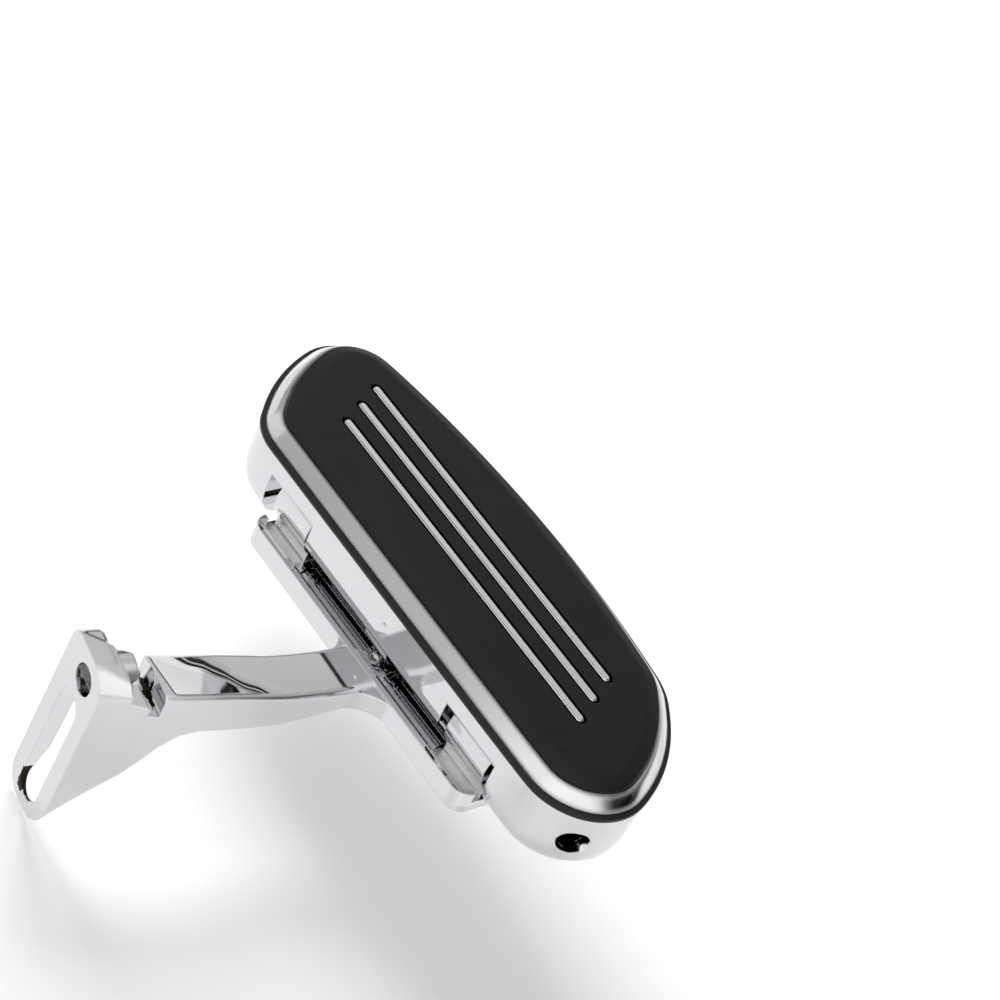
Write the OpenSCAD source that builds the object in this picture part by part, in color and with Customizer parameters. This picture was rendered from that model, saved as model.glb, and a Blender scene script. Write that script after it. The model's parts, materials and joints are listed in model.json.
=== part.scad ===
// Folding passenger floorboard with its support bracket, one side of a pair.
// X runs along the hinge, Y points away from the motorcycle and Z points up.
// The origin is the bracket's bolt hole, in the plane of its mounting face.

/* [Board] */
// Length of the board over the rubber edge
board_len = 266; // [250:1:285]
// Width of the board over the rubber edge
board_w = 99; // [94:0.5:104]
// Corner radius at the narrow end, outer side
narrow_outer_r = 27; // [24:0.5:30]
// Corner radius at the narrow end, hinge side
narrow_hinge_r = 27.5; // [24:0.5:31]
// Corner radius at the broad end, hinge side
broad_hinge_r = 30.5; // [27:0.5:34]
// Corner radius at the broad end, outer side
broad_outer_r = 39.5; // [35:0.5:43]
// Set-back of the narrow end's outer corner from the outer edge
narrow_setback = 12; // [8:0.5:15]
// Set-back of the broad end's outer corner from the broad end
broad_setback = 24; // [18:0.5:27]
// Drop of the broad end's outer corner below the bow of the outer side
broad_drop = 4.5; // [3:0.25:6]
// Step from the narrow end to the middle of its hinge-side corner
narrow_slant = 22; // [16:0.5:25]
// Radius of the bowed end edge at the narrow end
narrow_bow_r = 108; // [90:1:200]
// Radius of the bowed end edge at the broad end
broad_bow_r = 98; // [88:1:200]

/* [Pan] */
// Depth of the pan under the rubber
pan_depth = 32.5; // [30:0.5:36]
// Thickness of the pan's walls
pan_wall = 4; // [3:0.25:4.5]
// Height of the flange that carries the rubber
flange_h = 4; // [3:0.25:6]
// Radius of the concave cove under the flange
cove_depth = 6; // [4:0.5:7]
// Diameter of the holes in the pan's ends that let the hinge pins in
access_d = 12; // [10:0.5:13]

/* [Rubber edge] */
// Thickness of the rubber between the pan and the bezel
gasket_t = 2.5; // [2:0.25:4]
// Width of the rubber ring
gasket_w = 6; // [5.5:0.25:7]

/* [Bezel] */
// Width of the chrome band round the pad
bezel_w = 8; // [7.6:0.2:10]
// Height of the band's crown
bezel_h = 5.8; // [5:0.2:7]
// Set-back of the band's foot from the rubber's outer edge
bezel_foot = 2.2; // [1:0.1:2.6]
// Thickness of the floor under the pad
floor_t = 2; // [1.6:0.1:2.5]

/* [Tread pad] */
// Height of the pad's middle over the floor
pad_h = 7; // [6:0.1:8]
// Gap between the pad and the bezel
pad_gap = 0.3; // [0.2:0.05:0.6]
// Width of the bevel round the pad
pad_bevel = 6; // [4:0.25:7]
// Depth of the grooves that hold the strips
groove_depth = 3; // [2:0.25:3.5]
// Width of the grooves
groove_w = 6; // [5:0.25:7]

/* [Strips] */
// Length of each strip
strip_len = 173; // [150:1:185]
// Width of each strip
strip_w = 3.2; // [2.6:0.1:4]
// Distance between neighbouring strips
strip_pitch = 12.8; // [10:0.2:15]
// Step of each strip towards the narrow end
strip_step = 7.4; // [0:0.2:9]
// Diameter of the studs under a strip
stud_d = 3; // [2.5:0.1:4]

/* [Hinge] */
// Diameter of the hinge pins
pin_d = 8; // [7:0.25:9.5]
// Radial running clearance of the pins in the ears
pin_fit = 0.05; // [0.02:0.01:0.08]
// Radius of the ears round the hinge axis
ear_r = 15; // [14:0.25:15.5]
// Gap between the ears and the pan's pockets round them
ear_gap = 0.6; // [0.4:0.05:0.7]
// Width of the narrow end's ear
front_ear_w = 23; // [18:0.5:25]
// Width of the broad end's ear
rear_ear_w = 26; // [20:0.5:28]
// Board length taken up by the ears and ends, beyond the hub
hub_room = 166; // [160:1:176]
// Radius of the pan's hub tube
hub_r = 12; // [10:0.25:12.5]
// Furthest fold of the board
fold_max = 74; // [50:1:74]

/* [Detent] */
// Diameter of the detent ball
ball_d = 6; // [5:0.25:6.5]
// Rise of the ball into its notches
ball_rise = 1; // [0.5:0.1:1.2]
// Radius of the cam on the hub
cam_r = 15.6; // [15.5:0.1:15.8]
// Width of the cam on the hub
cam_w = 15; // [12:0.5:18]
// Diameter of the set screw under the spring
screw_d = 9; // [8:0.25:10]
// Diameter of the boss on the underside
boss_d = 17; // [15:0.5:20]

/* [Bracket head] */
// Height of the bracket head from its bottom face to the flange's top
head_h = 10; // [9:0.25:10.5]
// Thickness of the head's floor
head_floor = 5; // [4.5:0.1:5.2]
// Thickness of the flange along the head
head_flange = 3.5; // [3:0.25:4.5]

/* [Bracket arm and plate] */
// Width of the arm
arm_w = 24; // [20:0.5:28]
// Thickness of the arm's walls
arm_wall = 3.6; // [3:0.2:4.5]
// Reach from the hinge axis to the mounting face
arm_reach = 138.5; // [130:0.5:150]
// Sideways offset of the plate from the arm, towards the narrow end
plate_offset = 29; // [24:0.5:32]
// Sideways bend of the arm before it meets the plate
arm_bend = 18; // [14:0.5:20]
// Turn of the mounting face about the vertical
plate_yaw = 10; // [0:0.5:14]
// Width of the mounting plate
plate_w = 32; // [30:0.5:36]
// Height of the mounting plate
plate_h = 93; // [88:1:98]
// Thickness of the mounting plate
plate_t = 11; // [9:0.5:12]
// Diameter of the bolt hole
bolt_d = 13.5; // [10:0.25:14]
// Lean of the plate: sideways step per unit of height
plate_lean = 0.05; // [0:0.005:0.06]
// Width of the long slot
slot_w = 15.5; // [12:0.5:17]
// Length of the long slot
slot_len = 64; // [50:1:66]

/* [Fasteners] */
// Diameter of the bezel screws
bezel_screw_d = 5; // [4:0.25:5.5]
// Length of the bezel screws
bezel_screw_len = 16; // [12:0.5:18]

/* [Hidden] */
round_fn = 64;
small_fn = 32;
over = 1;
far = 200;

// Board outline: four corner circles, and a large one that bows the outer side
half_len = board_len / 2;
half_w = board_w / 2;
corner_a = [-half_len + narrow_outer_r, half_w - narrow_setback - narrow_outer_r];
corner_b = [-half_len + narrow_hinge_r + narrow_slant, -half_w + narrow_hinge_r];
corner_c = [half_len - broad_hinge_r, -half_w + broad_hinge_r];
corner_d = [
    half_len - broad_outer_r - broad_setback,
    half_w - broad_outer_r - broad_drop
];
bow_r = pow((corner_d[0] - corner_a[0]) / (sqrt(narrow_setback) + sqrt(broad_drop)), 2) / 2
    + (narrow_outer_r + broad_outer_r) / 2;

// Levels, with zero at the top of the rubber edge
flange_z = -gasket_t;
cove_z = flange_z - flange_h;
band_z = bezel_h - 0.4;
pan_z = flange_z - pan_depth;
pan_floor_z = pan_z + pan_wall;
pad_top_z = floor_t + pad_h;
groove_z = pad_top_z - groove_depth;
pad_inset = bezel_w + pad_gap;
rim_inset = 1;

// Hinge axis, ears and hub
hinge_y = -half_w + 15.5;
hinge_z = flange_z - 14;
hub_w = board_len - hub_room;
hub_shift = 4;
hub_x0 = hub_shift - hub_w / 2;
hub_x1 = hub_x0 + hub_w;
hub_gap = 0.5;
washer_room = 5.4;
front_ear_x1 = hub_x0 - hub_gap;
front_ear_x0 = front_ear_x1 - front_ear_w;
rear_ear_x0 = hub_x1 + washer_room;
rear_ear_x1 = rear_ear_x0 + rear_ear_w;
pocket_r = ear_r + ear_gap;
pocket_x0 = front_ear_x0 - 8;
pocket_x1 = rear_ear_x1 + 2.5;
pin_boss_w = 8;
pin_boss_r = 8.5;
pin_hold = 24;
pin_r = pin_d / 2;
notch_y = hinge_y + 19.5;
notch_z = hinge_z - 5;
step_wall = 3.5;
rib_top_z = flange_z - 2;

// Clips and washers on the pins
clip_t = 1;
clip_groove = 0.6;
clip_r = pin_r + 2.6;
front_clip_x = front_ear_x0 - 4.5;
rear_clip_x = hub_x1 + 0.6;
washer_t = 1.2;
washer_r = pin_r + 4.5;
washer_fit = 0.1;
flat_washer_x = rear_ear_x0 - washer_fit - washer_t;
wave_t = 0.6;
wave_h = 0.6;

// Bracket head
head_z = pan_z - 3;
head_top_z = head_z + head_h;
head_floor_z = head_z + head_floor;
head_x0 = front_ear_x0 - 1.5;
head_x1 = rear_ear_x1 + 1.5;
head_front_y = hinge_y - 22.5;
head_back_y = hinge_y + 10;
head_corner = 7;
neck_front = 9.5;
recess_space = 16;

// Detent: the ball waits just clear of the cam, and rises into a notch at each end of the fold
detent_x = 9;
detent_dy = -9;
ball_r = ball_d / 2;
ball_clear = 0.12;
ball_reach = cam_r + ball_r + ball_clear;
ball_z = hinge_z - sqrt(ball_reach * ball_reach - detent_dy * detent_dy);
detent_y = hinge_y + detent_dy;
boss_z = head_z - 6.5;
screw_h = 4.2;
screw_z = boss_z + 0.6;
spring_z0 = screw_z + screw_h;
spring_z1 = ball_z - ball_r * 0.75;
spring_wire = 0.8;
spring_turns = 3;

// Arm and mounting plate
arm_x = 13.5;
arm_y0 = head_front_y + 3;
plate_x = arm_x - plate_offset;
plate_y = hinge_y - arm_reach;
plate_top_z = head_z + 19.5;
arm_top_z = head_z + 9.5;
plate_bottom_z = plate_top_z - plate_h;
bolt_dx = 2;
bolt_z = plate_top_z - 12.5;
bolt_boss_r = bolt_d / 2 + 4.7;
bolt_boss_h = 7;
slot_top_z = bolt_z - bolt_d / 2 - 4.5;
recess_w = 11.5;
recess_z = bolt_z + 5.5;
groove_floor_z = bolt_z + 1.5;
cavity_z = slot_top_z - 0.5;

// Screws under the pad
bezel_screw_at = [
    [24 - half_len, 0], [62 - half_len, half_w - 22],
    [half_len - 64, half_w - 22], [half_len - 24, -10]
];
bezel_screw_head_d = 9.4;
screw_boss_r = 5;

// Moves the whole model so that the bolt hole becomes the origin
bolt_at = [
    plate_x + bolt_dx * cos(plate_yaw),
    plate_y - bolt_dx * sin(plate_yaw),
    bolt_z
];
module in_frame() {
    translate(-bolt_at) children();
}

function clamp01(t) = min(max(t, 0), 1);
function smooth(t) = clamp01(t) * clamp01(t) * (3 - 2 * clamp01(t));
function lerp(a, b, t) = a + (b - a) * t;
function heading(v) = atan2(v[1], v[0]);
function arc(c, r, a0, a1, n) = [
    for (i = [0:n]) c + r * [cos(lerp(a0, a1, i / n)), sin(lerp(a0, a1, i / n))]
];

// Centre of the large circle that two smaller ones touch from inside
function bow_centre(c0, r0, c1, r1, r) =
    let (d = norm(c1 - c0))
    let (e = (c1 - c0) / d)
    let (p = r - r0)
    let (q = r - r1)
    let (s = (d * d + p * p - q * q) / (2 * d))
    c0 + e * s + [e[1], -e[0]] * sqrt(p * p - s * s);

// Board outline, set in by one amount on the outer side and another on the hinge side
function outline(outer, hinge) =
    let (ra = narrow_outer_r - outer)
    let (rb = narrow_hinge_r - hinge)
    let (rc = broad_hinge_r - hinge)
    let (rd = broad_outer_r - outer)
    let (r_narrow = narrow_bow_r - outer)
    let (r_broad = broad_bow_r - outer)
    let (r_side = bow_r - outer)
    let (narrow = bow_centre(corner_b, rb, corner_a, ra, r_narrow))
    let (broad = bow_centre(corner_d, rd, corner_c, rc, r_broad))
    let (side = bow_centre(corner_a, ra, corner_d, rd, r_side))
    let (side_a = heading(corner_a - side))
    let (side_d = heading(corner_d - side))
    let (narrow_a = turn(heading(corner_a - narrow), 0))
    let (narrow_b = turn(heading(corner_b - narrow), 0))
    let (broad_c = turn(heading(corner_c - broad), 180))
    let (broad_d = turn(heading(corner_d - broad), 180))
    concat(
        arc(corner_a, ra, side_a, narrow_a, 6),
        inner(arc(narrow, r_narrow, narrow_a, narrow_b, 4)),
        arc(corner_b, rb, narrow_b, 270, 7),
        arc(corner_c, rc, 270, broad_c, 8),
        inner(arc(broad, r_broad, broad_c, broad_d, 5)),
        arc(corner_d, rd, broad_d, side_d + 360, 6),
        inner(arc(side, r_side, side_d, side_a, 10))
    );
// Inset of the bezel's slope at part t of its run
function band_slope(t) = lerp(bezel_foot + 0.4, bezel_w - 1, t);
function turn(a, from) = a < from ? a + 360 : a;
function inner(points) = [for (i = [1:len(points) - 2]) points[i]];
function at_z(ring, z) = [for (p = ring) [p[0], p[1], z]];

// Solid between a stack of rings that all have the same number of points
module stack(rings) {
    n = len(rings[0]);
    m = len(rings);
    sides = [
        for (j = [0:m - 2], i = [0:n - 1])
            [j * n + i, (j + 1) * n + i, (j + 1) * n + (i + 1) % n, j * n + (i + 1) % n]
    ];
    base = [for (i = [0:n - 1]) i];
    top = [for (i = [0:n - 1]) m * n - 1 - i];
    polyhedron([for (r = rings) each r], concat(sides, [base, top]), convexity = 6);
}
// Board-shaped solid from levels of height, outer inset and hinge inset
module board_stack(levels) {
    stack([for (l = levels) at_z(outline(l[1], l[2]), l[0])]);
}
module board_plate(inset, z0, z1) {
    translate([0, 0, z0]) linear_extrude(z1 - z0) polygon(outline(inset, inset));
}
module along_hinge(x0, x1, r, fn = round_fn) {
    translate([x0, hinge_y, hinge_z]) rotate([0, 90, 0]) cylinder(h = x1 - x0, r = r, $fn = fn);
}
module block(x0, x1, y0, y1, z0, z1) {
    translate([x0, y0, z0]) cube([x1 - x0, y1 - y0, z1 - z0]);
}
module post(x, y, z0, z1, r, fn = small_fn) {
    translate([x, y, z0]) cylinder(h = z1 - z0, r = r, $fn = fn);
}
// Turns children about the hinge axis
module folded(angle) {
    translate([0, hinge_y, hinge_z]) rotate([angle, 0, 0]) translate([0, -hinge_y, -hinge_z])
        children();
}

// Pan
module pan_outside() {
    board_stack([
        [pan_z, 12.5, 13],
        [pan_z + 0.8, 10.2, 9.5],
        [pan_z + 3, rim_inset + cove_depth + 1.6, 6],
        [pan_z + 7.5, rim_inset + cove_depth + 0.8, 2.6],
        [pan_z + 14, rim_inset + cove_depth + 0.2, rim_inset + 0.2],
        [cove_z - 7, rim_inset + cove_depth - 0.2, rim_inset],
        [cove_z - 3.5, rim_inset + cove_depth * 0.7, rim_inset],
        [cove_z - 1, rim_inset + 1.2, rim_inset],
        [cove_z, rim_inset, rim_inset],
        [flange_z, rim_inset, rim_inset]
    ]);
}
module pan_inside() {
    board_stack([
        [pan_floor_z, 9 + pan_wall, 7 + pan_wall],
        [pan_floor_z + 5, 7.8 + pan_wall, 2.6 + pan_wall],
        [cove_z - 3, rim_inset + cove_depth + pan_wall, rim_inset + pan_wall],
        [cove_z, rim_inset + 1 + pan_wall, rim_inset + pan_wall],
        [flange_z + over, rim_inset + pan_wall, rim_inset + pan_wall]
    ]);
}
module hinge_walls() {
    x0 = pocket_x0 - step_wall;
    x1 = pocket_x1 + step_wall;
    block(x0, x1, -far, notch_y + step_wall, pan_z, notch_z + step_wall);
    block(x0, pocket_x0, -far, notch_y, pan_z, rib_top_z);
    block(pocket_x1, x1, -far, notch_y, pan_z, rib_top_z);
    along_hinge(pocket_x0 - pin_boss_w, pocket_x0, pin_boss_r);
    along_hinge(pocket_x1, pocket_x1 + pin_boss_w, pin_boss_r);
    along_hinge(hub_x0, hub_x1, hub_r);
}
module ear_pocket(x0, x1) {
    along_hinge(x0, x1, pocket_r);
    block(x0, x1, -far, hinge_y + pocket_r, pan_z - over, hinge_z);
}
// Space that the ball needs between its waiting place and its notch
module ball_path() {
    post(detent_x, detent_y, ball_z - over, ball_z + ball_rise, ball_r + ball_clear);
    translate([detent_x, detent_y, ball_z + ball_rise]) sphere(r = ball_r + ball_clear, $fn = small_fn);
}
module pan_cam() {
    along_hinge(detent_x - cam_w / 2, detent_x + cam_w / 2, cam_r);
}
module pan() {
    color("gainsboro") in_frame() difference() {
        union() {
            difference() {
                pan_outside();
                pan_inside();
            }
            intersection() {
                pan_outside();
                difference() {
                    hinge_walls();
                    block(pocket_x0, pocket_x1, -far, notch_y, pan_z - over, notch_z);
                }
            }
            intersection() {
                pan_outside();
                union() {
                    along_hinge(hub_x0, hub_x1, hub_r);
                    pan_cam();
                }
            }
            for (p = bezel_screw_at) post(p[0], p[1], pan_floor_z - over, 0, screw_boss_r);
        }
        difference() {
            block(pocket_x0, pocket_x1, -far, notch_y, pan_z - over, notch_z);
            along_hinge(hub_x0, hub_x1, hub_r);
            pan_cam();
        }
        ear_pocket(pocket_x0, hub_x0);
        ear_pocket(hub_x1, pocket_x1);
        along_hinge(pocket_x0 - pin_boss_w - over, hub_x0 + pin_hold, pin_r);
        along_hinge(hub_x1 - pin_hold, pocket_x1 + pin_boss_w + over, pin_r);
        along_hinge(-far, pocket_x0 - pin_boss_w, access_d / 2);
        along_hinge(pocket_x1 + pin_boss_w, far, access_d / 2);
        ball_path();
        folded(-fold_max) ball_path();
        for (p = bezel_screw_at)
            post(p[0], p[1], floor_t - bezel_screw_len - 0.5, over, bezel_screw_d / 2);
    }
}

// Rubber ring between the pan and the bezel
module rubber_edge() {
    color([0.07, 0.07, 0.08]) in_frame() difference() {
        board_stack([
            [-gasket_t, 0.5, 0.5],
            [-gasket_t * 0.75, 0.1, 0.1],
            [-gasket_t * 0.25, 0, 0],
            [0, 0.4, 0.4]
        ]);
        board_plate(gasket_w, -gasket_t - over, over);
    }
}

// Bezel: the chrome band, with the floor that carries the pad
module bezel() {
    color("whitesmoke") in_frame() difference() {
        board_stack([
            [0, bezel_foot + 0.3, bezel_foot + 0.3],
            [0.7, bezel_foot, bezel_foot],
            [1.5, bezel_foot + 0.4, bezel_foot + 0.4],
            [lerp(1.5, band_z, 0.35), band_slope(0.3), band_slope(0.3)],
            [lerp(1.5, band_z, 0.7), band_slope(0.65), band_slope(0.65)],
            [band_z, bezel_w - 1, bezel_w - 1],
            [bezel_h, bezel_w, bezel_w]
        ]);
        board_plate(bezel_w, floor_t, 2 * bezel_h);
        for (p = bezel_screw_at) {
            post(p[0], p[1], -over, floor_t, bezel_screw_d / 2);
            translate([p[0], p[1], 0])
                cylinder(h = floor_t + 0.01, d1 = bezel_screw_d, d2 = bezel_screw_head_d, $fn = small_fn);
        }
        for (k = [-1:1]) strip_studs(k);
    }
}

// Tread pad and its strips
strip_x = -3;
strip_y = -1.6;
groove_end = 3;
stud_step = 62;
stud_end_z = -2.5;
strip_rise = 0.3;
module at_strip(k) {
    translate([strip_x - k * strip_step, strip_y + k * strip_pitch, 0]) children();
}
module bar(length, width, z0, z1) {
    reach = (length - width) / 2;
    block(-reach, reach, -width / 2, width / 2, z0, z1);
    post(-reach, 0, z0, z1, width / 2);
    post(reach, 0, z0, z1, width / 2);
}
module strip_studs(k) {
    at_strip(k) for (i = [-1:1])
        post(i * stud_step, 0, stud_end_z, groove_z, stud_d / 2, 20);
}
module tread_pad() {
    color([0.1, 0.1, 0.11]) in_frame() difference() {
        board_stack([
            [floor_t, pad_inset, pad_inset],
            [pad_top_z - 2.2, pad_inset, pad_inset],
            [pad_top_z - 1.6, pad_inset + 0.5, pad_inset + 0.5],
            [pad_top_z - 0.3, pad_inset + pad_bevel - 1, pad_inset + pad_bevel - 1],
            [pad_top_z, pad_inset + pad_bevel + 1, pad_inset + pad_bevel + 1]
        ]);
        for (k = [-1:1]) {
            at_strip(k) bar(strip_len + groove_end, groove_w, groove_z, pad_top_z + over);
            strip_studs(k);
        }
    }
}
module strip(k) {
    color("silver") in_frame() {
        at_strip(k) {
            bar(strip_len, strip_w, groove_z, pad_top_z - 0.4);
            bar(strip_len - 0.8, strip_w - 0.8, pad_top_z - 0.4, pad_top_z + strip_rise);
        }
        strip_studs(k);
    }
}
module strip_inner() strip(-1);
module strip_middle() strip(0);
module strip_outer() strip(1);

// Screws through the bezel's floor
module bezel_screw(i) {
    p = bezel_screw_at[i];
    color("dimgray") in_frame() translate([p[0], p[1], 0]) difference() {
        union() {
            cylinder(h = floor_t, d1 = bezel_screw_d, d2 = bezel_screw_head_d, $fn = small_fn);
            translate([0, 0, floor_t - bezel_screw_len])
                cylinder(h = bezel_screw_len, d = bezel_screw_d, $fn = small_fn);
        }
        translate([0, 0, floor_t - 1.3]) cylinder(h = 2, d = bezel_screw_d * 0.6, $fn = 6);
    }
}
module bezel_screw_1() bezel_screw(0);
module bezel_screw_2() bezel_screw(1);
module bezel_screw_3() bezel_screw(2);
module bezel_screw_4() bezel_screw(3);

// Hinge pins with a groove for the clip
module hinge_pin(x0, x1, clip_x) {
    color("lightgray") in_frame() difference() {
        along_hinge(x0, x1, pin_r);
        difference() {
            along_hinge(clip_x, clip_x + clip_t, pin_r + over);
            along_hinge(clip_x - over, clip_x + clip_t + over, pin_r - clip_groove);
        }
    }
}
module front_hinge_pin() hinge_pin(pocket_x0 - pin_boss_w, hub_x0 + pin_hold, front_clip_x);
module rear_hinge_pin() hinge_pin(hub_x1 - pin_hold, pocket_x1 + pin_boss_w, rear_clip_x);
module pin_clip(clip_x) {
    color("silver") in_frame() difference() {
        along_hinge(clip_x, clip_x + clip_t, clip_r);
        along_hinge(clip_x - over, clip_x + clip_t + over, pin_r - clip_groove);
        block(clip_x - over, clip_x + clip_t + over,
            hinge_y - clip_r - over, hinge_y + clip_r + over,
            hinge_z - clip_r - over, hinge_z - pin_r * 0.6);
    }
}
module front_pin_clip() pin_clip(front_clip_x);
module rear_pin_clip() pin_clip(rear_clip_x);
module flat_washer() {
    color("silver") in_frame() difference() {
        along_hinge(flat_washer_x, flat_washer_x + washer_t, washer_r);
        along_hinge(flat_washer_x - over, flat_washer_x + washer_t + over, pin_r);
    }
}
// Thin ring bent into three waves
module wave_washer() {
    steps = 36;
    mid = flat_washer_x - wave_h - wave_t / 2 - 0.02;
    function wave(a) = wave_h * cos(3 * a) * 0.98;
    function point(a, r, dx) = [
        mid + wave(a) + dx, hinge_y + r * cos(a), hinge_z + r * sin(a)
    ];
    r0 = pin_r + 0.3;
    r1 = washer_r - 0.5;
    half = wave_t / 2;
    points = [
        for (i = [0:steps - 1]) let (a = 360 * i / steps)
            each [point(a, r0, -half), point(a, r1, -half), point(a, r1, half), point(a, r0, half)]
    ];
    faces = [
        for (i = [0:steps - 1], k = [0:3])
            let (j = (i + 1) % steps)
            [4 * i + k, 4 * i + (k + 1) % 4, 4 * j + (k + 1) % 4, 4 * j + k]
    ];
    color("silver") in_frame() polyhedron(points, faces, convexity = 4);
}

// Bracket: head with its two ears
function head_plan() =
    let (x0 = head_x0, x1 = head_x1, y0 = head_front_y, y1 = head_back_y, r = head_corner)
    concat(
        arc([x0 + r, y0 + r], r, 180, 270, 6),
        arc([x1 - r, y0 + r], r, 270, 360, 6),
        arc([x1 - 3, y1 - 3], 3, 0, 90, 3),
        arc([x0 + 3, y1 - 3], 3, 90, 180, 3)
    );
module ear(x0, x1) {
    along_hinge(x0, x1, ear_r);
    block(x0, x1, hinge_y - neck_front, head_back_y, head_z, hinge_z);
}
module head_solid() {
    difference() {
        translate([0, 0, head_z]) linear_extrude(head_h) polygon(head_plan());
        block(head_x0 + 2.5, head_x1 - 2.5, head_front_y + head_flange, head_back_y + over,
            head_floor_z, head_top_z + over);
        block(head_x0 - over, head_x1 + over, hinge_y - ear_r, head_back_y + over,
            head_floor_z, head_top_z + over);
    }
    ear(front_ear_x0, front_ear_x1);
    ear(rear_ear_x0, rear_ear_x1);
    post(detent_x, detent_y, boss_z, head_floor_z, boss_d / 2, round_fn);
}
// Fillets in plan between the head and the arm
module head_fillet(side, r) {
    x = arm_x + side * (arm_w / 2 - 0.5);
    y = head_front_y + 0.5;
    translate([x, y, head_z]) linear_extrude(arm_top_z - head_z - 0.5) difference() {
        polygon([[0, 0], [side * r, 0], [0, -r]]);
        translate([side * r, -r]) circle(r = r, $fn = round_fn);
    }
}
// Lightening pockets in the underside of the head
module head_recess(x0, x1, box_x0, box_x1) {
    y = hinge_y - 2;
    r = 7;
    depth = 2.6;
    translate([0, y, head_z - over]) {
        block(x0 + r, x1 - r, -r, r, 0, depth + over);
        post(x0 + r, 0, 0, depth + over, r, round_fn);
        post(x1 - r, 0, 0, depth + over, r, round_fn);
    }
    block(box_x0, box_x1, y - 5.5, y + 5.5, head_z - over, head_z + 9);
}

// Arm: sections that run from the head to the mounting face
function flare(t) = pow(clamp01((t - 0.84) / 0.16), 1.6);
function arm_bent(t) = arm_bend * pow(max(t - 0.36, 0) / 0.64, 1.4);
function arm_mid(t) = [
    arm_x - lerp(arm_bent(t), plate_offset, flare(t)), lerp(arm_y0, plate_y, t)
];
function arm_yaw(t) = plate_yaw * smooth(t / 0.85);
function arm_half(t) = lerp(arm_w, plate_w, flare(t)) / 2;
function arm_top(t) = lerp(arm_top_z, plate_top_z, smooth(t / 0.65));
function arm_bottom(t) =
    lerp(head_z, plate_bottom_z, pow(clamp01((t - 0.68) / 0.32), 2));
function arm_point(t, u, z) =
    let (m = arm_mid(t))
    let (a = arm_yaw(t))
    let (v = u + plate_lean * (z - bolt_z) * flare(t))
    [m[0] + v * cos(a), m[1] - v * sin(a), z];
function corner(u, z, r, a0, n) = [
    for (i = [0:n]) [u + r * cos(a0 + 90 * i / n), z + r * sin(a0 + 90 * i / n)]
];
function arm_ring(t) =
    let (w = arm_half(t), z1 = arm_top(t), z0 = arm_bottom(t))
    let (f = flare(t))
    let (r1 = lerp(2.5, 13, f), r2 = lerp(2.5, 5, f))
    let (r3 = lerp(0.8, 12, f), r4 = lerp(0.8, 14, f))
    let (profile = concat(
        corner(w - r1, z1 - r1, r1, 0, 4),
        corner(-w + r2, z1 - r2, r2, 90, 4),
        corner(-w + r3, z0 + r3, r3, 180, 4),
        corner(w - r4, z0 + r4, r4, 270, 4)
    ))
    [for (p = profile) arm_point(t, p[0], p[1])];
arm_stops = [0, 0.14, 0.28, 0.4, 0.5, 0.6, 0.68, 0.74, 0.79, 0.83, 0.87, 0.9, 0.93, 0.955, 0.98, 1];
module arm_solid() {
    stack([for (t = arm_stops) arm_ring(t)]);
}
channel_t0 = 0.07;
channel_t1 = 0.76;
module arm_channel() {
    stops = [for (i = [0:8]) lerp(channel_t0, channel_t1, i / 8)];
    stack([
        for (t = stops)
            let (w = arm_half(t) - arm_wall, z1 = arm_top(t) - arm_wall)
            [
                arm_point(t, w, z1 - 2), arm_point(t, w - 2, z1),
                arm_point(t, 2 - w, z1), arm_point(t, -w, z1 - 2),
                arm_point(t, -w, head_z - 40), arm_point(t, w, head_z - 40)
            ]
    ]);
}
// Plate frame: X along the face, Y into the bracket, Z up
module at_plate() {
    translate([plate_x, plate_y, 0]) rotate([0, 0, -plate_yaw]) children();
}
module across_plate(x, z, r, y0, y1) {
    translate([x, y0, z]) rotate([-90, 0, 0]) cylinder(h = y1 - y0, r = r, $fn = round_fn);
}
module plate_cuts() {
    slot_r = slot_w / 2;
    slot_z = [slot_top_z - slot_r, slot_top_z - slot_len + slot_r];
    slot_x = [for (z = slot_z) plate_lean * (z - bolt_z)];
    back = plate_t + recess_w;
    side = plate_w / 2 - arm_wall;
    at_plate() {
        difference() {
            block(-far, far, plate_t, back, recess_z, far);
            across_plate(bolt_dx, bolt_z, bolt_boss_r, plate_t - over, plate_t + bolt_boss_h);
        }
        block(-far, far, plate_t + bolt_boss_h, back, groove_floor_z, recess_z + over);
        across_plate(bolt_dx, bolt_z, bolt_d / 2, -over, back - over);
        across_plate(bolt_dx, bolt_z, bolt_d / 2 + 2.3, plate_t + bolt_boss_h, back);
        for (i = [0:1]) across_plate(slot_x[i], slot_z[i], slot_r, -over, plate_t + over);
        translate([0, plate_t + over, 0]) rotate([90, 0, 0]) linear_extrude(plate_t + 2 * over)
            polygon([
                [slot_x[0] - slot_r, slot_z[0]], [slot_x[1] - slot_r, slot_z[1]],
                [slot_x[1] + slot_r, slot_z[1]], [slot_x[0] + slot_r, slot_z[0]]
            ]);
        translate([0, back - 2, 0]) rotate([90, 0, 0]) linear_extrude(recess_w - 2)
            polygon([
                [-side + 1, cavity_z], [slot_x[1] - side, plate_bottom_z - over],
                [slot_x[1] + side, plate_bottom_z - over], [side - 1, cavity_z]
            ]);
    }
}
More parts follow.
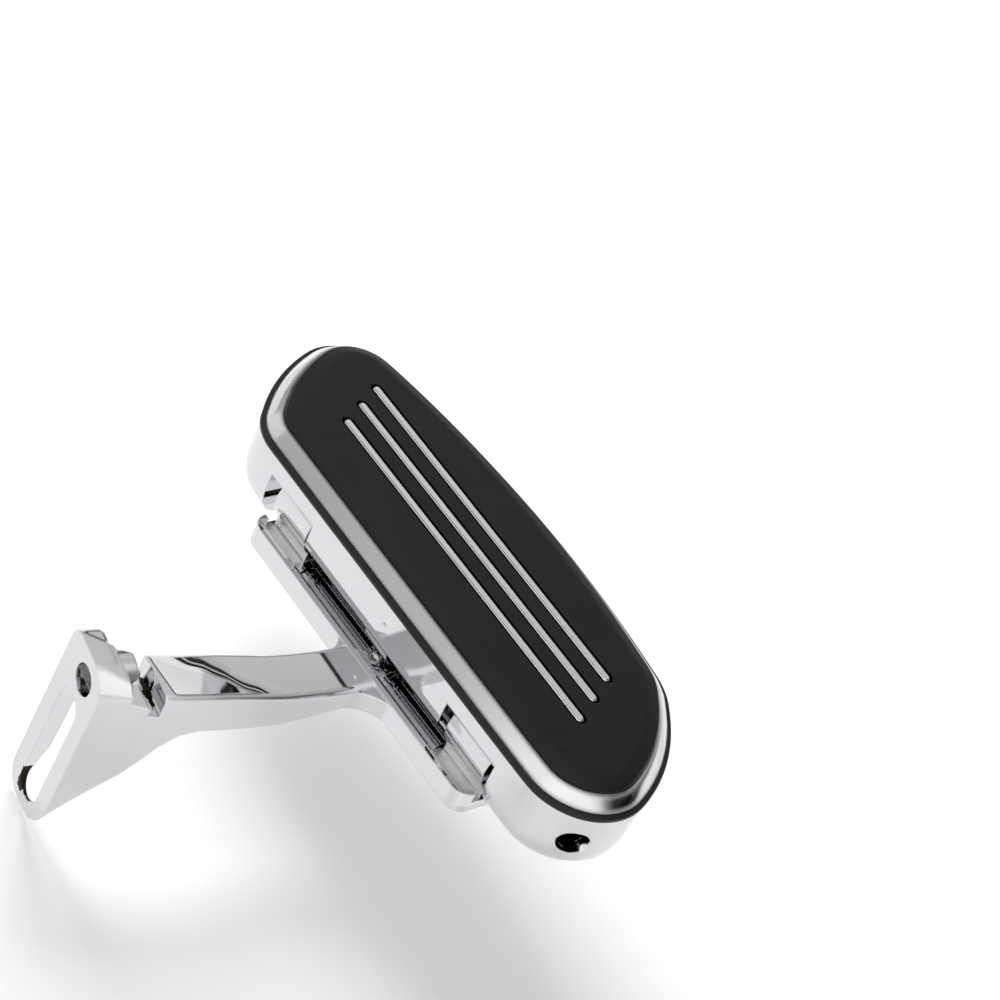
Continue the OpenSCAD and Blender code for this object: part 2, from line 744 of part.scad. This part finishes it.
module support_bracket() {
    color("lightsteelblue") in_frame() difference() {
        union() {
            head_solid();
            head_fillet(-1, 8);
            head_fillet(1, 16);
            arm_solid();
        }
        arm_channel();
        plate_cuts();
        head_recess(front_ear_x0 + 2, detent_x - boss_d / 2 - 5, front_ear_x0 + 4, front_ear_x1 - 4);
        head_recess(detent_x + boss_d / 2 + recess_space, rear_ear_x1 - 2, rear_ear_x0 + 4, rear_ear_x1 - 4);
        along_hinge(head_x0 - over, head_x1 + over, pin_r + pin_fit);
        post(detent_x, detent_y, boss_z - over, spring_z0, screw_d / 2, round_fn);
        post(detent_x, detent_y, spring_z0 - over, head_floor_z + over, ball_r + 0.08, round_fn);
    }
}

// Detent parts
module detent_set_screw() {
    color("dimgray") in_frame() difference() {
        post(detent_x, detent_y, screw_z, screw_z + screw_h, screw_d / 2 - 0.02, round_fn);
        translate([detent_x, detent_y, screw_z - over]) cylinder(h = over + 2.4, d = 5, $fn = 6);
    }
}
module detent_ball() {
    color("silver") in_frame() translate([detent_x, detent_y, ball_z])
        sphere(r = ball_r, $fn = round_fn);
}
module detent_spring() {
    coil_r = ball_r - spring_wire / 2 - 0.15;
    wire = spring_wire / 2;
    steps = 16 * spring_turns;
    height = spring_z1 - spring_z0 - 2 * wire - 0.1;
    rings = [
        for (i = [0:steps]) [
            for (k = [0:5]) let (a = 360 * i / 16, b = 60 * k)
                [
                    detent_x + (coil_r + wire * cos(b)) * cos(a),
                    detent_y + (coil_r + wire * cos(b)) * sin(a),
                    spring_z0 + wire + 0.05 + height * i / steps + wire * sin(b)
                ]
        ]
    ];
    color("darkgray") in_frame() stack(rings);
}

support_bracket();
detent_set_screw();
detent_spring();
detent_ball();
flat_washer();
wave_washer();
pan();
front_hinge_pin();
rear_hinge_pin();
front_pin_clip();
rear_pin_clip();
rubber_edge();
bezel();
tread_pad();
strip_inner();
strip_middle();
strip_outer();
bezel_screw_1();
bezel_screw_2();
bezel_screw_3();
bezel_screw_4();
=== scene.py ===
import json
import math

import bmesh
import bpy
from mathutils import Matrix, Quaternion, Vector

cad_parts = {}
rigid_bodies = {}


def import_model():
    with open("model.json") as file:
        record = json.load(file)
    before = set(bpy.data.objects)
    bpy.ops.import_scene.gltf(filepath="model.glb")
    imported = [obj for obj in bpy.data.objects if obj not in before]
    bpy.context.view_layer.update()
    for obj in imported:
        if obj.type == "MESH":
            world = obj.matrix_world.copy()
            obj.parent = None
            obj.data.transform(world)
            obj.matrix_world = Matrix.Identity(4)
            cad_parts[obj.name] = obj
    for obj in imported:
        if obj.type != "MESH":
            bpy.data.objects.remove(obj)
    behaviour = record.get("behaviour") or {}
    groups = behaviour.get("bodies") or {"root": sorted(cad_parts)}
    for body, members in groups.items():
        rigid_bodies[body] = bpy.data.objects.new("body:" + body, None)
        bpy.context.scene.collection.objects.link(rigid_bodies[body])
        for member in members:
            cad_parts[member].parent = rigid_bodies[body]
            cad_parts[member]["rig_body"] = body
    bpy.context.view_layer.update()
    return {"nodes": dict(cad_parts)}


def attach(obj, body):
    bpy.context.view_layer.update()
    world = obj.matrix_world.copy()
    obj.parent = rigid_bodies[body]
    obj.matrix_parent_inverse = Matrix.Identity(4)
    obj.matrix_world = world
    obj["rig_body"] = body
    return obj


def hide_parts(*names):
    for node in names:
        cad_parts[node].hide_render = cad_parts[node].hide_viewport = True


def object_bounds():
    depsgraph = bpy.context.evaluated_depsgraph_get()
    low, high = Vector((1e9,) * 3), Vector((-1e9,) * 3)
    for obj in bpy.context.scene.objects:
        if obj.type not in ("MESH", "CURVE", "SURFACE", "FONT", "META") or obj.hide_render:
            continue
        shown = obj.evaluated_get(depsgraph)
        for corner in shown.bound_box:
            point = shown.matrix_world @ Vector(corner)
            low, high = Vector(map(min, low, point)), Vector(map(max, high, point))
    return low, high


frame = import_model()
nodes = frame["nodes"]


# Shader nodes
def feed(nt, socket, value):
    """Sets a socket to a number or a colour, or links another socket to it."""
    if isinstance(value, (int, float)):
        socket.default_value = value
    elif isinstance(value, tuple):
        socket.default_value = (*value, 1)
    else:
        nt.links.new(value, socket)


def noise(nt, scale, detail, rough=0.5):
    coords = nt.nodes.new("ShaderNodeTexCoord")
    tex = nt.nodes.new("ShaderNodeTexNoise")
    tex.inputs["Scale"].default_value = scale
    tex.inputs["Detail"].default_value = detail
    tex.inputs["Roughness"].default_value = rough
    nt.links.new(coords.outputs["Object"], tex.inputs["Vector"])
    return tex.outputs["Fac"]


def map_range(nt, fac, to_low, to_high, from_low=0.0, from_high=1.0):
    r = nt.nodes.new("ShaderNodeMapRange")
    r.inputs["From Min"].default_value = from_low
    r.inputs["From Max"].default_value = from_high
    r.inputs["To Min"].default_value = to_low
    r.inputs["To Max"].default_value = to_high
    nt.links.new(fac, r.inputs["Value"])
    return r.outputs["Result"]


def bump(nt, bsdf, fac, strength, distance, normal):
    b = nt.nodes.new("ShaderNodeBump")
    b.inputs["Strength"].default_value = strength
    b.inputs["Distance"].default_value = distance
    nt.links.new(fac, b.inputs["Height"])
    nt.links.new(normal, b.inputs["Normal"])
    nt.links.new(b.outputs["Normal"], bsdf.inputs["Normal"])


def rounded(nt, radius):
    """Normals that make the edges look rounded by this radius."""
    e = nt.nodes.new("ShaderNodeBevel")
    e.samples = 4
    e.inputs["Radius"].default_value = radius
    return e.outputs["Normal"]


def math_node(nt, operation, a, b):
    n = nt.nodes.new("ShaderNodeMath")
    n.operation = operation
    feed(nt, n.inputs[0], a)
    feed(nt, n.inputs[1], b)
    return n.outputs["Value"]


def product(nt, *factors):
    total = factors[0]
    for f in factors[1:]:
        total = math_node(nt, "MULTIPLY", total, f)
    return total


def union(nt, *masks):
    """1 where any of the masks is 1."""
    total = masks[0]
    for m in masks[1:]:
        total = math_node(nt, "MAXIMUM", total, m)
    return total


def wobble(nt, scale, detail, size):
    """Noise around 0, within half of size to either side."""
    return product(nt, math_node(nt, "SUBTRACT", noise(nt, scale, detail), 0.5), size)


def split(nt, vector):
    """The X, Y and Z of a vector."""
    parts = nt.nodes.new("ShaderNodeSeparateXYZ")
    nt.links.new(vector, parts.inputs["Vector"])
    return parts.outputs


def object_point(nt):
    return split(nt, nt.nodes.new("ShaderNodeTexCoord").outputs["Object"])


def in_box(nt, low, high, ragged=0.0):
    """1 inside a box given in object space, 0 outside; its sides can be ragged."""
    point = object_point(nt)
    shift = wobble(nt, 420.0, 3.0, ragged)
    inside = 1.0
    for axis, lo, hi in zip("XYZ", low, high):
        at = math_node(nt, "ADD", point[axis], shift)
        above = math_node(nt, "GREATER_THAN", at, lo)
        below = math_node(nt, "LESS_THAN", at, hi)
        inside = product(nt, inside, above, below)
    return inside


def mix_value(nt, fac, a, b):
    n = nt.nodes.new("ShaderNodeMix")
    nt.links.new(fac, n.inputs["Factor"])
    feed(nt, n.inputs["A"], a)
    feed(nt, n.inputs["B"], b)
    return n.outputs["Result"]


def mix_colour(nt, fac, a, b):
    n = nt.nodes.new("ShaderNodeMix")
    n.data_type = "RGBA"
    nt.links.new(fac, n.inputs["Factor"])
    first, second = [x for x in n.inputs if x.type == "RGBA"]
    feed(nt, first, a)
    feed(nt, second, b)
    return [x for x in n.outputs if x.type == "RGBA"][0]


def vector_math(nt, operation, *vectors):
    n = nt.nodes.new("ShaderNodeVectorMath")
    n.operation = operation
    for socket, vector in zip(n.inputs, vectors):
        nt.links.new(vector, socket)
    return n


# Materials
def new_material(name):
    m = bpy.data.materials.new(name)
    m.use_nodes = True
    nt = m.node_tree
    nt.nodes.clear()
    out = nt.nodes.new("ShaderNodeOutputMaterial")
    return m, nt, out


def new_surface(name):
    m, nt, out = new_material(name)
    bsdf = nt.nodes.new("ShaderNodeBsdfPrincipled")
    nt.links.new(bsdf.outputs["BSDF"], out.inputs["Surface"])
    return m, nt, bsdf


as_cast_colour = (0.97, 0.97, 0.97)
# Dark brown used as painted shade in the bracket's hollows
painted_shade_colour = (0.035, 0.026, 0.016)


def metal(name, colour, rough, grain=180.0, edge=0.0004, cast=(), painted_shade=(), shape=None):
    """Metal with faint tone and grain; grainy as-cast skin and painted dark shade can fill some boxes."""
    m, nt, bsdf = new_surface(name)
    bsdf.inputs["Metallic"].default_value = 1.0
    tone = noise(nt, scale=9.0, detail=3.0)
    darker = tuple(c * 0.95 for c in colour)
    paint = mix_colour(nt, map_range(nt, tone, 0.0, 1.0, 0.3, 0.7), colour, darker)
    smudge = noise(nt, scale=14.0, detail=5.0, rough=0.6)
    roughness = map_range(nt, smudge, *rough, 0.35, 0.7)
    relief = noise(nt, scale=grain, detail=3.0)
    depth, strength = 0.00002, 0.05
    if cast:
        where = union(nt, *[in_box(nt, lo, hi) for lo, hi in cast])
        pits = noise(nt, scale=650.0, detail=5.0, rough=0.65)
        paint = mix_colour(nt, where, paint, as_cast_colour)
        roughness = mix_value(nt, where, roughness, 0.45)
        relief = mix_value(nt, where, product(nt, relief, 0.05), pits)
        depth, strength = 0.0004, 0.6
    # Painted shade: boxes with ragged sides turn dark brown and rougher
    if painted_shade:
        in_painted_shade = union(nt, *[in_box(nt, lo, hi, ragged=0.003) for lo, hi in painted_shade])
        paint = mix_colour(nt, in_painted_shade, paint, painted_shade_colour)
        roughness = mix_value(nt, in_painted_shade, roughness, 0.6)
    nt.links.new(paint, bsdf.inputs["Base Color"])
    nt.links.new(roughness, bsdf.inputs["Roughness"])
    normal = rounded(nt, edge)
    if shape:
        normal = shape(nt, normal)
    bump(nt, bsdf, relief, strength, depth, normal)
    return m


def dished(nt, normal):
    """Shades the arm's rising top as if it were level, with a dish behind the mounting plate."""
    # The rise in the solid is 0 at both of these y, and in between it follows a parabola
    rise_top, rise_foot, rise_factor = 0.0418, 0.1193, 0.774
    # The dish fades out along a slanting direction, from its full lean to none
    dish_x, dish_y, dish_shift = 1.5, 1.39, 0.0135
    dish_start, dish_end, dish_lean, dish_sideways = 0.036, 0.062, 0.47, 0.3
    # Only faces that look up, and only past the recess behind the plate
    steep, level = 0.55, 0.95
    recess_back, arm_root = 0.0215, 0.0235

    point = object_point(nt)
    x, y = point["X"], point["Y"]
    across = math_node(nt, "SUBTRACT", product(nt, y, dish_y), product(nt, x, dish_x))
    shifted = math_node(nt, "ADD", across, dish_shift)
    along = math_node(nt, "ADD", shifted, wobble(nt, 55.0, 1.0, 0.022))
    dish = map_range(nt, along, dish_lean, 0.0, dish_start, dish_end)
    climbed = map_range(nt, y, 1.0, 0.0, rise_top, rise_foot)
    rise = product(nt, climbed, math_node(nt, "SUBTRACT", 1.0, climbed), rise_factor)
    toward_y = math_node(nt, "SUBTRACT", product(nt, dish, dish_sideways), rise)
    up = map_range(nt, split(nt, normal)["Z"], 0.0, 1.0, steep, level)
    on_arm = map_range(nt, y, 0.0, 1.0, recess_back, arm_root)
    weight = product(nt, up, on_arm)
    lean = nt.nodes.new("ShaderNodeCombineXYZ")
    nt.links.new(product(nt, dish, -1.0, weight), lean.inputs["X"])
    nt.links.new(product(nt, toward_y, weight), lean.inputs["Y"])
    total = vector_math(nt, "ADD", normal, lean.outputs["Vector"])
    return vector_math(nt, "NORMALIZE", total.outputs["Vector"]).outputs["Vector"]


def rubber(name, colour, rough, grain, depth, strength, shine):
    m, nt, bsdf = new_surface(name)
    speck = noise(nt, scale=60.0, detail=6.0, rough=0.7)
    lighter = tuple(c * 1.8 for c in colour)
    paint = mix_colour(nt, map_range(nt, speck, 0.0, 1.0, 0.35, 0.75), colour, lighter)
    nt.links.new(paint, bsdf.inputs["Base Color"])
    bsdf.inputs["Specular IOR Level"].default_value = shine
    smudge = noise(nt, scale=22.0, detail=4.0, rough=0.6)
    nt.links.new(map_range(nt, smudge, *rough, 0.35, 0.7), bsdf.inputs["Roughness"])
    bump(nt, bsdf, noise(nt, scale=grain, detail=3.0), strength, depth, rounded(nt, 0.0005))
    return m


# Boxes in the bracket, each a low and a high corner in metres.
# Painted shade: dark brown at the lower end of the mounting slot, and in the groove behind the bolt's
# boss.
painted_shade_boxes = [
    ((-0.0135, 0.0015, -0.0762), (0.0030, 0.0095, -0.0655)),
    ((-0.006, 0.0186, 0.0), (0.0215, 0.0218, 0.0030)),
]
# The skin is as cast in the pockets in front of the two ears
ear_pockets = [
    ((-0.064, 0.118, -0.004), (-0.033, 0.1285, 0.006)),
    ((0.072, 0.118, -0.004), (0.103, 0.1285, 0.006)),
]
chrome_colour = (0.75, 0.755, 0.77)
chrome = metal("chrome", chrome_colour, rough=(0.03, 0.07), edge=0.0008)
chrome_edge = metal("chrome_bezel", (0.77, 0.77, 0.775), rough=(0.04, 0.08), edge=0.003)
casting = metal("chromed_casting", chrome_colour, rough=(0.04, 0.09), grain=90.0, edge=0.0012,
                cast=ear_pockets, painted_shade=painted_shade_boxes, shape=dished)
steel = metal("pin_steel", (0.5, 0.5, 0.51), rough=(0.22, 0.34), grain=400.0)
dark = metal("oiled_steel", (0.16, 0.125, 0.08), rough=(0.25, 0.4), grain=300.0)
strip_metal = metal("strip_steel", (0.98, 0.97, 0.94), rough=(0.16, 0.26), grain=500.0)
pad_rubber = rubber("pad_rubber", (0.0035, 0.0035, 0.004), rough=(0.36, 0.5), grain=900.0,
                    depth=0.00004, strength=0.2, shine=0.3)
edge_rubber = rubber("edge_rubber", (0.005, 0.005, 0.0055), rough=(0.25, 0.38), grain=700.0,
                     depth=0.00003, strength=0.12, shine=0.35)

use = {
    "support_bracket": casting,
    "pan": chrome,
    "bezel": chrome_edge,
    "rubber_edge": edge_rubber,
    "tread_pad": pad_rubber,
    "strip_inner": strip_metal,
    "strip_middle": strip_metal,
    "strip_outer": strip_metal,
    "front_hinge_pin": steel,
    "rear_hinge_pin": steel,
    "front_pin_clip": steel,
    "rear_pin_clip": steel,
    "flat_washer": steel,
    "wave_washer": steel,
    "detent_ball": steel,
    "detent_spring": dark,
    "detent_set_screw": dark,
    "bezel_screw_1": dark,
    "bezel_screw_2": dark,
    "bezel_screw_3": dark,
    "bezel_screw_4": dark,
}
for name, node in nodes.items():
    node.data.materials.clear()
    node.data.materials.append(use[name])


# Crown of the mounting plate, in millimetres
def arc(x, z, radius, first, past, step):
    """Points of an arc around (x, z), from the first angle in degrees to the one before past."""
    angles = [math.radians(a) for a in range(first, past, step)]
    return [(x + radius * math.cos(a), z + radius * math.sin(a)) for a in angles]


def plate_crown(bm):
    """Rounded crown on the mounting plate: an arch over the bolt hole, as thick as the plate."""
    yaw, lean, half, top, foot, slab = math.radians(10), 0.05, 16.0, 12.47, -6.0, 11.0
    big_radius, small_radius, hole_radius, plate_shift = 13, 5, 7.6, 2
    outer = arc(3, top - big_radius, big_radius, 0, 91, 15)
    outer += arc(-11, top - small_radius, small_radius, 90, 181, 15)
    outer.append((-half, foot))
    hole = [(-9.0, foot)] + arc(2, 0, hole_radius, 205, -6, -15)
    middle = Vector((1.0, -2.0))
    # How deep each ring lies in the plate, and how far its outer edge is drawn in
    depth_inset = ((0.3, 0.0), (slab - 3.0, 0.0), (slab - 1.6, 0.4), (slab - 0.5, 1.3), (slab, 2.6))
    rings = []
    for depth, inset in depth_inset:
        ring = []
        for k, (u, w) in enumerate(outer + hole):
            if k < len(outer):
                pull = Vector((u, w)) - middle
                u, w = middle + pull * (1 - inset / pull.length)
            u += lean * w - plate_shift
            ring.append(bm.verts.new((
                (u * math.cos(yaw) + depth * math.sin(yaw)) / 1000,
                (depth * math.cos(yaw) - u * math.sin(yaw)) / 1000,
                w / 1000,
            )))
        rings.append(ring)
    n = len(rings[0])
    for a, b in zip(rings, rings[1:]):
        for i in range(n):
            bm.faces.new((a[i], a[(i + 1) % n], b[(i + 1) % n], b[i]))
    caps = [bm.faces.new(rings[0][::-1]), bm.faces.new(rings[-1])]
    bmesh.ops.triangulate(bm, faces=caps)
    bmesh.ops.recalc_face_normals(bm, faces=bm.faces)


# Smooth skins over the faceted solids
strips = [v.co for k in ("strip_inner", "strip_outer") for v in nodes[k].data.vertices]
strips_x = [f(p.x for p in strips) for f in (min, max)]
strips_y = [f(p.y for p in strips) for f in (min, max)]


def near_strips(co, room=0.003):
    """True around the metal strips, where the corners of their grooves stay as they are."""
    return (strips_x[0] - room < co.x < strips_x[1] + room
            and strips_y[0] - room < co.y < strips_y[1] + room)


def smooth_copy(name, angle, levels=0):
    """Skin for one piece: smooth up to an angle in degrees, and subdivided where levels says so."""
    same_point, kept_bend = 2e-6, math.radians(20)
    source = nodes[name]
    mesh = source.data.copy()
    made = bpy.data.objects.new(name + "_skin", mesh)
    bpy.context.scene.collection.objects.link(made)
    bm = bmesh.new()
    bm.from_mesh(mesh)
    bmesh.ops.remove_doubles(bm, verts=bm.verts, dist=same_point)
    if name == "support_bracket":
        plate_crown(bm)
    for f in bm.faces:
        f.smooth = True
    for e in bm.edges:
        if len(e.link_faces) == 2:
            e.smooth = e.calc_face_angle(0.0) < math.radians(angle)
    if levels:
        crease = bm.edges.layers.float.new("crease_edge")
        for e in bm.edges:
            bend = len(e.link_faces) != 2 or e.calc_face_angle(0.0) > kept_bend
            e[crease] = 1.0 if bend or any(near_strips(v.co) for v in e.verts) else 0.0
    bm.to_mesh(mesh)
    bm.free()
    if levels:
        finer = made.modifiers.new("finer", "SUBSURF")
        finer.levels = finer.render_levels = levels
    weigh = made.modifiers.new("weigh", "WEIGHTED_NORMAL")
    weigh.keep_sharp = True
    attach(made, source["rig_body"])
    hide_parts(name)


smooth_copy("pan", angle=32)
smooth_copy("bezel", angle=40, levels=2)
smooth_copy("rubber_edge", angle=40, levels=2)
smooth_copy("tread_pad", angle=30, levels=2)
smooth_copy("support_bracket", angle=32)


# Floor
def sheet(name, size, z):
    mesh = bpy.data.meshes.new(name)
    s = size / 2
    mesh.from_pydata([(-s, -s, z), (s, -s, z), (s, s, z), (-s, s, z)], [], [(0, 1, 2, 3)])
    made = bpy.data.objects.new(name, mesh)
    bpy.context.scene.collection.objects.link(made)
    return made


def seen_directly(nt):
    """1 for camera, glossy and transmission rays, 0 for light that bounces off matt surfaces."""
    path = nt.nodes.new("ShaderNodeLightPath").outputs
    return union(nt, *[path[f"Is {kind} Ray"] for kind in ("Camera", "Glossy", "Transmission")])


def paper(name, glow, albedo, glow_in_metal, albedo_in_metal):
    """White paper that keeps the shadows that fall on it, softer ones where metal mirrors it."""
    m, nt, out = new_material(name)
    matt = nt.nodes.new("ShaderNodeBsdfDiffuse")
    mirrored = nt.nodes.new("ShaderNodeLightPath").outputs["Is Glossy Ray"]
    first, second = [(a, a, a * 1.01) for a in (albedo, albedo_in_metal)]
    nt.links.new(mix_colour(nt, mirrored, first, second), matt.inputs["Color"])
    light = nt.nodes.new("ShaderNodeEmission")
    light.inputs["Color"].default_value = (1, 1, 1, 1)
    strength = mix_value(nt, mirrored, glow, glow_in_metal)
    nt.links.new(product(nt, seen_directly(nt), strength), light.inputs["Strength"])
    both = nt.nodes.new("ShaderNodeAddShader")
    nt.links.new(matt.outputs["BSDF"], both.inputs[0])
    nt.links.new(light.outputs["Emission"], both.inputs[1])
    nt.links.new(both.outputs["Shader"], out.inputs["Surface"])
    return m


low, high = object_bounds()
centre = (low + high) / 2
floor_size, floor_gap = 8.0, 0.0005
floor = sheet("floor", floor_size, low.z - floor_gap)
floor.data.materials.append(paper("floor_paper", glow=0.34, albedo=0.85,
                                  glow_in_metal=0.6, albedo_in_metal=0.45))

# Surroundings: white for the camera, and light and dark bands for the metal to mirror
world = bpy.data.worlds.new("studio")
bpy.context.scene.world = world
world.use_nodes = True
wnt = world.node_tree
wnt.nodes.clear()
wout = wnt.nodes.new("ShaderNodeOutputWorld")
sky = wnt.nodes.new("ShaderNodeBackground")
direction = wnt.nodes.new("ShaderNodeTexCoord").outputs["Generated"]
toward = split(wnt, direction)


def ramp(fac, stops):
    """Grey that follows the stops, each a position and a brightness."""
    r = wnt.nodes.new("ShaderNodeValToRGB")
    r.color_ramp.interpolation = "EASE"
    elements = r.color_ramp.elements
    elements[0].position = stops[0][0]
    elements[1].position = stops[-1][0]
    for end in (0, -1):
        elements[end].color = (*(stops[end][1],) * 3, 1)
    for position, brightness in stops[1:-1]:
        elements.new(position).color = (brightness, brightness, brightness, 1)
    wnt.links.new(fac, r.inputs["Fac"])
    return r.outputs["Color"]


def card(towards, inner, outer, value):
    """Dims the surroundings around one direction, with a soft edge between two angles."""
    dot = vector_math(wnt, "DOT_PRODUCT", direction)
    dot.inputs[1].default_value = Vector(towards).normalized()
    edge_angles = [math.cos(math.radians(a)) for a in (outer, inner)]
    return map_range(wnt, dot.outputs["Value"], 1.0, value, *edge_angles)


upward = math_node(wnt, "ADD", toward["Z"], wobble(wnt, 2.2, 2.0, 0.10))
behind = ramp(upward, [(0.0, 1.0), (0.17, 1.0), (0.19, 0.02), (0.28, 0.02), (0.295, 0.9), (0.31, 0.9),
                       (0.325, 0.02), (0.41, 0.02), (0.45, 0.56), (0.75, 0.68), (1.0, 0.9)])
before = ramp(map_range(wnt, toward["X"], 0.0, 1.0, -1.0, 1.0),
              [(0.0, 0.85), (0.17, 0.8), (0.245, 0.5), (0.28, 0.6), (0.31, 1.05), (0.6, 1.2), (1.0, 1.1)])
side = map_range(wnt, toward["Y"], 0.0, 1.0, -0.05, 0.3)
studio = mix_colour(wnt, side, before, behind)
dimming_cards = (((0.6, 0.66, 0.45), 14, 34, 0.06), ((-0.1, 0.75, 0.66), 4, 24, 0.45))
for towards, inner, outer, value in dimming_cards:
    dimmed = vector_math(wnt, "SCALE", studio)
    wnt.links.new(card(towards, inner, outer, value), dimmed.inputs["Scale"])
    studio = dimmed.outputs["Vector"]
camera_ray = wnt.nodes.new("ShaderNodeLightPath").outputs["Is Camera Ray"]
matt_light, direct_light = 0.35, 1.0
strength = map_range(wnt, seen_directly(wnt), matt_light, direct_light)
wnt.links.new(mix_colour(wnt, camera_ray, studio, (1.0, 1.0, 1.0)), sky.inputs["Color"])
wnt.links.new(strength, sky.inputs["Strength"])
wnt.links.new(sky.outputs["Background"], wout.inputs["Surface"])


# Key light and camera
def place(name, data, at, target, roll=0.0):
    """A light or camera at one point that looks at another, turned by roll degrees about its view."""
    made = bpy.data.objects.new(name, data)
    bpy.context.scene.collection.objects.link(made)
    made.location = at
    made.rotation_mode = "QUATERNION"
    upright = (target - at).to_track_quat("-Z", "Y")
    made.rotation_quaternion = upright @ Quaternion((0, 0, 1), math.radians(roll))
    return made


lamp = bpy.data.lights.new("key", "AREA")
lamp.shape = "RECTANGLE"
lamp.size = lamp.size_y = 0.9
lamp.energy = 22.5
key = place("key", lamp, centre + Vector((-0.98, 0.38, 1.2)), centre)
key.visible_glossy = False

cam = bpy.data.cameras.new("photo_camera")
cam.sensor_width = 36.0
cam.lens = 115.2
cam.clip_start = 0.01
cam.clip_end = 50.0
camera_at = Vector((0.607373, -0.653534, 0.849676))
middle_of_view = Vector((-0.04056, 0.24241, 0.0))
scene = bpy.context.scene
scene.view_settings.view_transform = "Standard"
scene.camera = place("photo_camera", cam, camera_at, middle_of_view, roll=27.53)
